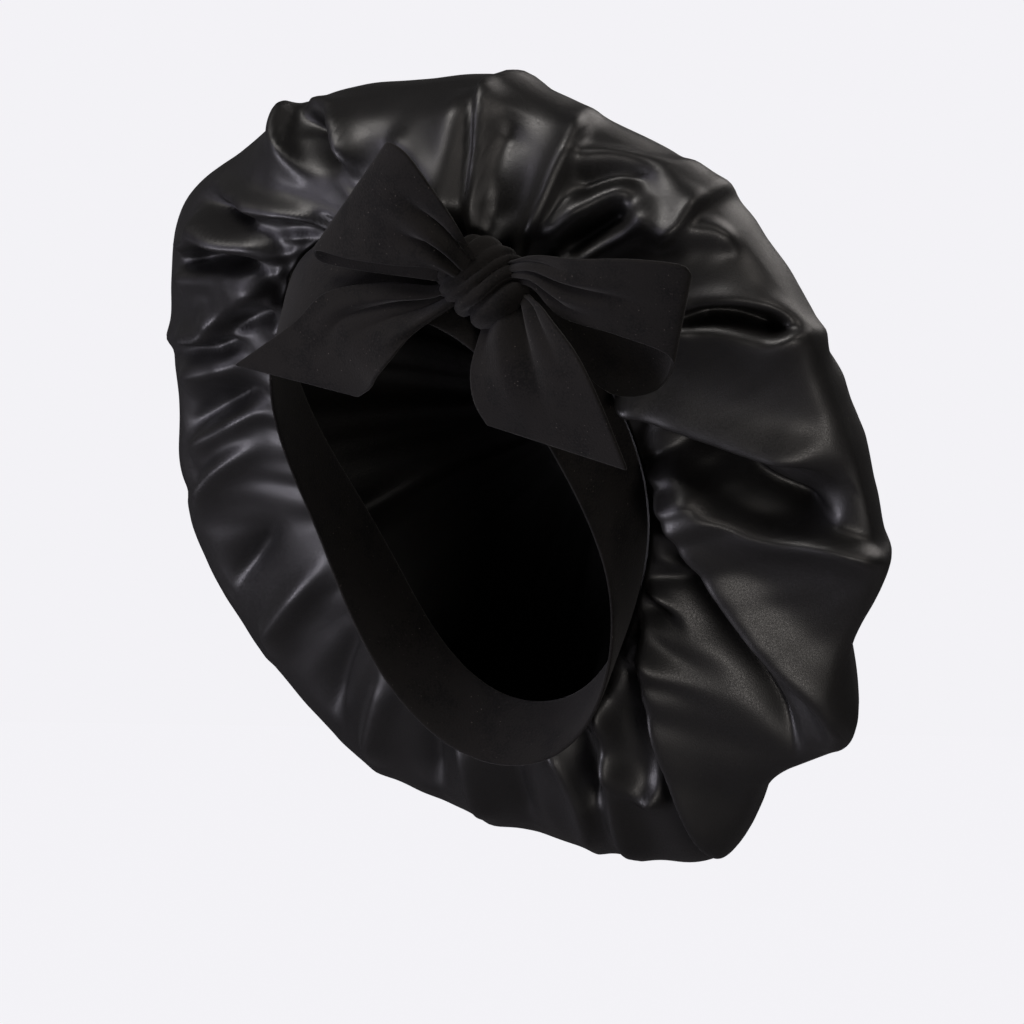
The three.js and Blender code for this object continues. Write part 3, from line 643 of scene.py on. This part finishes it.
def relax(grid):
    """Evens out kinks finer than the grid; its first and last rows stay."""
    for _ in range(RELAX_STEPS):
        inner = grid[1:-1]
        beside = np.roll(inner, 1, axis=1) + np.roll(inner, -1, axis=1)
        grid[1:-1] = 0.5 * inner + 0.125 * (grid[:-2] + grid[2:] + beside)
    return grid


def make_crown():
    front = np.linspace(0, 1, FRONT_ROWS + 1)
    back = 1 + np.linspace(0, 1, BACK_ROWS + 1)[1:-1]
    outs = np.concatenate([front, back])
    angles = np.arange(CROWN_COLUMNS) * 2 * math.pi / CROWN_COLUMNS
    out, angle = (a.ravel() for a in np.meshgrid(outs, angles, indexing="ij"))
    places = crown_point(angle, out)
    directions = crown_point(angle, out, MM) - places
    directions /= np.linalg.norm(directions, axis=1)[:, None]
    folds_kept, bumps_kept = calm_shares(angle, out)
    moves = fold_moves(places, directions) * folds_kept[:, None]
    bumps = gather_rise(angle, out) + pleat_rise(angle, out) + bump_rise(angle, out)
    moves += (bumps * bumps_kept)[:, None] * directions
    free = smoothstep(out, *FLAT_AT_BAND) * (1 - smoothstep(out, *FLAT_AT_BACK))
    vertices = places + moves * free[:, None]
    vertices = relax(vertices.reshape(len(outs), CROWN_COLUMNS, 3)).reshape(-1, 3)
    vertices = np.vstack([vertices, (RIM_DEPTH + BACK_DEPTH) * BACK])
    faces = grid_faces(len(outs), CROWN_COLUMNS, True)
    last = (len(outs) - 1) * CROWN_COLUMNS
    pole = len(vertices) - 1
    faces += [(last + c, last + (c + 1) % CROWN_COLUMNS, pole) for c in range(CROWN_COLUMNS)]
    crown = make_object("crown_satin", vertices, faces)
    face_outwards(crown)
    wall = crown.modifiers.new("wall", "SOLIDIFY")
    wall.thickness = SATIN_THICKNESS
    wall.offset = -1
    apply_modifiers(crown)
    return crown


# Band

def make_band():
    angles = np.arange(BAND_COLUMNS) * 2 * math.pi / BAND_COLUMNS
    turn = 2 * math.pi * (np.arange(BAND_ROWS) + 0.5) / BAND_ROWS
    across = 0.5 + 0.5 * np.sign(np.cos(turn)) * np.abs(np.cos(turn)) ** BAND_EDGE_POWER
    lift = 0.5 + 0.5 * np.sign(np.sin(turn)) * np.abs(np.sin(turn)) ** BAND_FACE_POWER
    angle, share = (a.ravel() for a in np.meshgrid(angles, across, indexing="ij"))
    radius, depth = band_section(angle, share, np.tile(lift, BAND_COLUMNS) * BAND_THICKNESS)
    vertices = around_head(angle, radius, depth)
    faces = []
    for c in range(BAND_COLUMNS):
        this, following = c * BAND_ROWS, (c + 1) % BAND_COLUMNS * BAND_ROWS
        for r in range(BAND_ROWS):
            beside = (r + 1) % BAND_ROWS
            faces.append((this + r, this + beside, following + beside, following + r))
    band = make_object("band_knit", vertices, faces)
    face_outwards(band)
    return band


# Bow

def knot_place():
    """Middle of the knot and its axes: along the band, across it, and out from it."""
    across = 1 - (KNOT_WIDTH / 2 + KNOT_SEAM_SETBACK) / band_width(KNOT_ANGLE)
    lift = BAND_THICKNESS + FIT_GAP + KNOT_HEIGHT * (0.5 - KNOT_SINK)
    angle = np.array(KNOT_ANGLE)
    small_turn = 0.01

    def on_band(turn, height):
        radius, depth = band_section(turn, across, height)
        return around_head(turn, radius, depth)

    foot = on_band(angle, 0.0)
    along = on_band(angle + small_turn, 0.0) - foot
    along /= np.linalg.norm(along)
    out = on_band(angle, BAND_THICKNESS) - foot
    out -= along * (out @ along)
    out /= np.linalg.norm(out)
    return on_band(angle, lift), along, np.cross(out, along), out


KNOT_CENTRE, KNOT_ALONG, KNOT_ACROSS, KNOT_OUT = knot_place()


def strap_section(station, reach):
    """Middle of the strap at a station, and the half of its width from there."""
    turn, lean, tilt = (math.radians(station[key]) for key in ("heading", "lean", "tilt"))
    flat = station["reach"] * reach
    middle = KNOT_CENTRE + flat * math.cos(turn) * SIDE + flat * math.sin(turn) * UP
    level = math.cos(lean) * SIDE + math.sin(lean) * UP
    half = station["spread"] * STRAP_WIDTH / 2 * (math.cos(tilt) * level + math.sin(tilt) * BACK)
    return middle - station["front"] * BOW_DEPTH * BACK, half


def make_strap(name, stations, reach, creases):
    """A double layer of knit through the stations, creased lengthwise where the knot grips it."""
    middles, halves = zip(*(strap_section(station, reach) for station in stations))
    middle, half = smooth_chain(middles, STRAP_STEPS), smooth_chain(halves, STRAP_STEPS)
    rows = len(middle)
    across = np.linspace(-1, 1, STRAP_COLUMNS)
    share = np.linspace(0, 1, rows)
    vertices = middle[:, None, :] + across[None, :, None] * half[:, None, :]
    for crease in creases:
        run = np.clip(share / crease["until"], 0, 1)
        line = lerp(crease["at"], crease["to"], run)
        rise = crease["rise"] * MM * (1 - smoothstep(run, *CREASE_FADE))
        apart = np.abs(across[None, :] - line[:, None]) / crease["width"]
        vertices -= (rise[:, None] * np.exp(-apart ** CREASE_SHARPNESS))[..., None] * BACK
    strap = make_object(name, vertices.reshape(-1, 3), grid_faces(rows, STRAP_COLUMNS, False))
    face_outwards(strap)
    layers = strap.modifiers.new("layers", "SOLIDIFY")
    layers.thickness = STRAP_THICKNESS
    layers.offset = 0
    rounded = strap.modifiers.new("rounded", "SUBSURF")
    rounded.levels = 1
    rounded.render_levels = 1
    apply_modifiers(strap)
    return strap


def ripple(shape, place):
    return np.sin(shape["waves"] * place + shape["start"])


def wrap_rise(x, y):
    """How far the wraps of the knot stand out at x, y of the unit ball."""
    slant = x * math.cos(WRAP_SLANT) + y * math.sin(WRAP_SLANT)
    length = y * math.cos(WRAP_SLANT) - x * math.sin(WRAP_SLANT)
    swirl = slant + WRAP_BEND["height"] * ripple(WRAP_BEND, length)
    swirl += WRAP_UNEVENNESS["height"] * ripple(WRAP_UNEVENNESS, swirl)
    wraps = np.abs(np.cos(WRAP_FOLDS["waves"] * swirl + WRAP_FOLDS["start"])) ** WRAP_FOLDS["power"]
    rise = WRAP_FOLDS["rise"] * (wraps - WRAP_FOLDS["level"]) * smoothstep(-swirl, *WRAP_FROM)
    rise -= WRAP_GROOVE["depth"] * np.exp(-((swirl - WRAP_GROOVE["place"]) / WRAP_GROOVE["width"]) ** 2)
    rise += WRAP_TURN["rise"] * np.exp(-((swirl - WRAP_TURN["place"]) / WRAP_TURN["width"]) ** 2)
    return rise


def make_knot():
    bpy.ops.object.select_all(action="DESELECT")
    bpy.ops.mesh.primitive_uv_sphere_add(segments=KNOT_SEGMENTS, ring_count=KNOT_RINGS, radius=1.0)
    knot = bpy.context.object
    knot.name = knot.data.name = "knot_wrap"
    ball = np.empty(len(knot.data.vertices) * 3)
    knot.data.vertices.foreach_get("co", ball)
    ball = ball.reshape(-1, 3)
    power = KNOT_SQUARENESS
    boxy = KNOT_FULLNESS * (np.abs(ball) ** power).sum(axis=1) ** (-1 / power)
    rise = wrap_rise(ball[:, 0], ball[:, 1])
    places = np.tile(KNOT_CENTRE, (len(ball), 1))
    sizes = (KNOT_LENGTH, KNOT_WIDTH, KNOT_HEIGHT)
    for share, size, axis in zip(ball.T, sizes, (KNOT_ALONG, KNOT_ACROSS, KNOT_OUT)):
        places += (share * (size / 2 * boxy + rise))[:, None] * axis
    knot.data.vertices.foreach_set("co", places.ravel())
    knot.data.update()
    for face in knot.data.polygons:
        face.use_smooth = True
    face_outwards(knot)
    return knot


# Materials. Patterns are given by the size of their lumps. The satin's floats are 0.1 mm wide and
# the jersey's loops 0.4 mm apart, both too fine to show, so they are drawn coarser.

SATIN_THREAD = 0.7 * MM
SATIN_CLOUD = 36 * MM
KNIT_LOOP = 1.1 * MM
KNIT_CLOUD = 17 * MM
LINT_SPACING = 1.1 * MM

# Places of the colour sockets on a mix node, which share their names with its other sockets
COLOUR_A, COLOUR_B, MIXED_COLOUR = 6, 7, 2


def hex_linear(code):
    """Linear RGBA of an sRGB hex colour."""
    channels = [int(code[k:k + 2], 16) / 255 for k in (1, 3, 5)]
    return [c / 12.92 if c <= 0.04045 else ((c + 0.055) / 1.055) ** 2.4 for c in channels] + [1.0]


def add_node(tree, kind, settings=None, links=None):
    """A node with its settings (properties, or sockets by name) and links (socket to source socket)."""
    node = tree.nodes.new(kind)
    for key, value in (settings or {}).items():
        if key in node.inputs:
            node.inputs[key].default_value = value
        else:
            setattr(node, key, value)
    for key, source in (links or {}).items():
        tree.links.new(source, node.inputs[key])
    return node


def add_noise(tree, place, lump, detail):
    return add_node(tree, "ShaderNodeTexNoise", {"Scale": 1 / lump, "Detail": detail}, {"Vector": place})


def new_material(name):
    material = bpy.data.materials.new(name)
    material.use_nodes = True
    material.node_tree.nodes.clear()
    return material, material.node_tree


def satin_material():
    """Polyester charmeuse satin: long floats of filament give broad soft highlights on near-black."""
    material, tree = new_material("black_polyester_satin")
    place = add_node(tree, "ShaderNodeTexCoord").outputs["Object"]
    slub = add_noise(tree, place, SATIN_THREAD, 2.0)
    cloud = add_noise(tree, place, SATIN_CLOUD, 3.0)
    tint = add_node(tree, "ShaderNodeValToRGB", None, {"Fac": cloud.outputs["Fac"]})
    tint.color_ramp.elements[0].color = hex_linear("#0b0a0a")
    tint.color_ramp.elements[1].color = hex_linear("#141312")
    gloss = add_node(tree, "ShaderNodeMapRange",
                     {"From Min": 0.3, "From Max": 0.7, "To Min": 0.38, "To Max": 0.56},
                     {"Value": slub.outputs["Fac"]})
    bump = add_node(tree, "ShaderNodeBump", {"Strength": 0.2, "Distance": 0.4 * MM},
                    {"Height": slub.outputs["Fac"]})
    shader = add_node(tree, "ShaderNodeBsdfPrincipled",
                      {"IOR": 1.55, "Anisotropic": 0.3, "Specular IOR Level": 0.6},
                      {"Base Color": tint.outputs["Color"], "Roughness": gloss.outputs["Result"],
                       "Normal": bump.outputs["Normal"]})
    add_node(tree, "ShaderNodeOutputMaterial", None, {"Surface": shader.outputs["BSDF"]})
    return material


def knit_material():
    """Cotton jersey: fine fuzzy loops scatter the light, so it stays matte and slightly warm."""
    material, tree = new_material("black_cotton_jersey")
    place = add_node(tree, "ShaderNodeTexCoord").outputs["Object"]
    loops = add_noise(tree, place, KNIT_LOOP, 3.0)
    cloud = add_noise(tree, place, KNIT_CLOUD, 4.0)
    mottle = add_node(tree, "ShaderNodeMath", {"operation": "ADD"})
    tree.links.new(loops.outputs["Fac"], mottle.inputs[0])
    tree.links.new(cloud.outputs["Fac"], mottle.inputs[1])
    tint = add_node(tree, "ShaderNodeValToRGB", None, {"Fac": mottle.outputs["Value"]})
    tint.color_ramp.elements[0].position = 0.8
    tint.color_ramp.elements[0].color = hex_linear("#0a0909")
    tint.color_ramp.elements[1].position = 1.0
    tint.color_ramp.elements[1].color = hex_linear("#161413")
    # lint shows only at the peaks of its pattern: a few small specks to the square centimetre
    specks = add_noise(tree, place, LINT_SPACING, 1.0)
    lint = add_node(tree, "ShaderNodeMapRange", {"From Min": 0.76, "From Max": 0.8},
                    {"Value": specks.outputs["Fac"]})
    cloth = add_node(tree, "ShaderNodeMix", {"data_type": "RGBA"})
    tree.links.new(lint.outputs["Result"], cloth.inputs["Factor"])
    tree.links.new(tint.outputs["Color"], cloth.inputs[COLOUR_A])
    cloth.inputs[COLOUR_B].default_value = hex_linear("#57524e")
    bump = add_node(tree, "ShaderNodeBump", {"Strength": 0.5, "Distance": 0.5 * MM},
                    {"Height": loops.outputs["Fac"]})
    shader = add_node(tree, "ShaderNodeBsdfPrincipled",
                      {"Roughness": 0.92, "Sheen Weight": 0.08, "Sheen Roughness": 0.5, "IOR": 1.5,
                       "Specular IOR Level": 0.15},
                      {"Base Color": cloth.outputs[MIXED_COLOUR],
                       "Normal": bump.outputs["Normal"]})
    add_node(tree, "ShaderNodeOutputMaterial", None, {"Surface": shader.outputs["BSDF"]})
    return material


def backdrop_material():
    """Matt white paper sweep; it glows to the camera alone, so that it throws no light on the cloth."""
    material, tree = new_material("white_paper_sweep")
    seen = add_node(tree, "ShaderNodeLightPath").outputs["Is Camera Ray"]
    glow = add_node(tree, "ShaderNodeMapRange", {"To Min": 0.0, "To Max": 1.0}, {"Value": seen})
    shader = add_node(tree, "ShaderNodeBsdfPrincipled",
                      {"Roughness": 1.0, "Base Color": hex_linear("#77767a"),
                       "Emission Color": hex_linear("#f2f1f5")},
                      {"Emission Strength": glow.outputs["Result"]})
    add_node(tree, "ShaderNodeOutputMaterial", None, {"Surface": shader.outputs["BSDF"]})
    return material


# Camera, lights and floor

PHOTO_SIDE = 1024
PIXELS_PER_METRE = 2000.0
ORIGIN_PIXEL = (455, 550)
CAMERA_AZIMUTH = math.radians(35)
CAMERA_ELEVATION = 0.0
CAMERA_DISTANCE = 5.0
SENSOR_WIDTH = 36
FLOOR_SIZE = 40
FLOOR_HEIGHT = -0.62

# Soft panels aimed at the origin: degrees from straight ahead towards the wearer's left, degrees up,
# distance and size in metres, power in watts
LIGHTS = (
    dict(name="key", azimuth=-6, elevation=50, distance=2.0, size=(0.9, 0.7),
         power=20, colour="#fffaf6"),
    dict(name="window", azimuth=-35, elevation=12, distance=2.0, size=(0.6, 1.4),
         power=9, colour="#f0eaff"),
    dict(name="low", azimuth=-36, elevation=-22, distance=1.3, size=(0.45, 0.35),
         power=9, colour="#f6f2ff"),
    dict(name="right", azimuth=85, elevation=28, distance=2.0, size=(0.4, 0.9),
         power=5, colour="#fff6ef"),
    dict(name="low_right", azimuth=62, elevation=-16, distance=1.6, size=(0.4, 0.3),
         power=5, colour="#fff8f2"),
    dict(name="back", azimuth=168, elevation=38, distance=2.2, size=(1.4, 1.0),
         power=11, colour="#fff8f4"),
)


def look_from(azimuth, elevation):
    return Vector((math.sin(azimuth) * math.cos(elevation), -math.cos(azimuth) * math.cos(elevation),
                   math.sin(elevation)))


def make_camera():
    away = look_from(CAMERA_AZIMUTH, CAMERA_ELEVATION)
    right = Vector((math.cos(CAMERA_AZIMUTH), math.sin(CAMERA_AZIMUTH), 0))
    upward = away.cross(right)
    half = PHOTO_SIDE / 2
    aim = (right * (half - ORIGIN_PIXEL[0]) - upward * (half - ORIGIN_PIXEL[1])) / PIXELS_PER_METRE
    data = bpy.data.cameras.new("camera")
    data.sensor_width = SENSOR_WIDTH
    data.lens = SENSOR_WIDTH * CAMERA_DISTANCE / (PHOTO_SIDE / PIXELS_PER_METRE)
    camera = bpy.data.objects.new("camera", data)
    camera.location = aim + away * CAMERA_DISTANCE
    camera.rotation_euler = away.to_track_quat("Z", "Y").to_euler()
    bpy.context.scene.collection.objects.link(camera)
    bpy.context.scene.camera = camera


def make_light(name, azimuth, elevation, distance, size, power, colour):
    data = bpy.data.lights.new(name, "AREA")
    data.shape = "RECTANGLE"
    data.size, data.size_y = size
    data.energy = power
    data.color = hex_linear(colour)[:3]
    light = bpy.data.objects.new(name, data)
    away = look_from(math.radians(azimuth), math.radians(elevation))
    light.location = away * distance
    light.rotation_euler = away.to_track_quat("Z", "Y").to_euler()
    bpy.context.scene.collection.objects.link(light)


def make_studio(material):
    bpy.ops.object.select_all(action="DESELECT")
    bpy.ops.mesh.primitive_plane_add(size=FLOOR_SIZE, location=(0, 0, FLOOR_HEIGHT))
    floor = bpy.context.object
    floor.name = "floor"
    floor.data.materials.append(material)
    world = bpy.data.worlds.new("studio")
    bpy.context.scene.world = world
    world.use_nodes = True
    tree = world.node_tree
    tree.nodes.clear()
    # white to the camera, but nearly dark to the cloth, which keeps the contrast of its folds
    seen = add_node(tree, "ShaderNodeLightPath").outputs["Is Camera Ray"]
    strength = add_node(tree, "ShaderNodeMapRange", {"To Min": 0.05, "To Max": 1.0}, {"Value": seen})
    sky = add_node(tree, "ShaderNodeBackground", {"Color": hex_linear("#f3f2f6")},
                   {"Strength": strength.outputs["Result"]})
    add_node(tree, "ShaderNodeOutputWorld", None, {"Surface": sky.outputs["Background"]})
    bpy.context.scene.view_settings.view_transform = "Standard"
    for light in LIGHTS:
        make_light(**light)


# Build

satin = satin_material()
knit = knit_material()
crown = make_crown()
band = make_band()
knot = make_knot()
loop_left = make_strap("loop_left_knit", LOOP_LEFT, LOOP_REACH, LOOP_LEFT_CREASES)
loop_right = make_strap("loop_right_knit", LOOP_RIGHT, LOOP_REACH, LOOP_RIGHT_CREASES)
tail_left = make_strap("tail_left_knit", TAIL_LEFT, TAIL_REACH, TAIL_LEFT_CREASES)
tail_right = make_strap("tail_right_knit", TAIL_RIGHT, TAIL_REACH, TAIL_RIGHT_CREASES)
pieces = (
    (crown, "crown", satin, "satin"),
    (band, "band", knit, "knit"),
    (knot, "knot", knit, "knit"),
    (loop_left, "loop_left", knit, "knit"),
    (loop_right, "loop_right", knit, "knit"),
    (tail_left, "tail_left", knit, "knit"),
    (tail_right, "tail_right", knit, "knit"),
)
for piece, node, material, slot in pieces:
    piece.data.materials.clear()
    piece.data.materials.append(material)
    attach(piece, "root")
    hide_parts(node)

make_camera()
make_studio(backdrop_material())
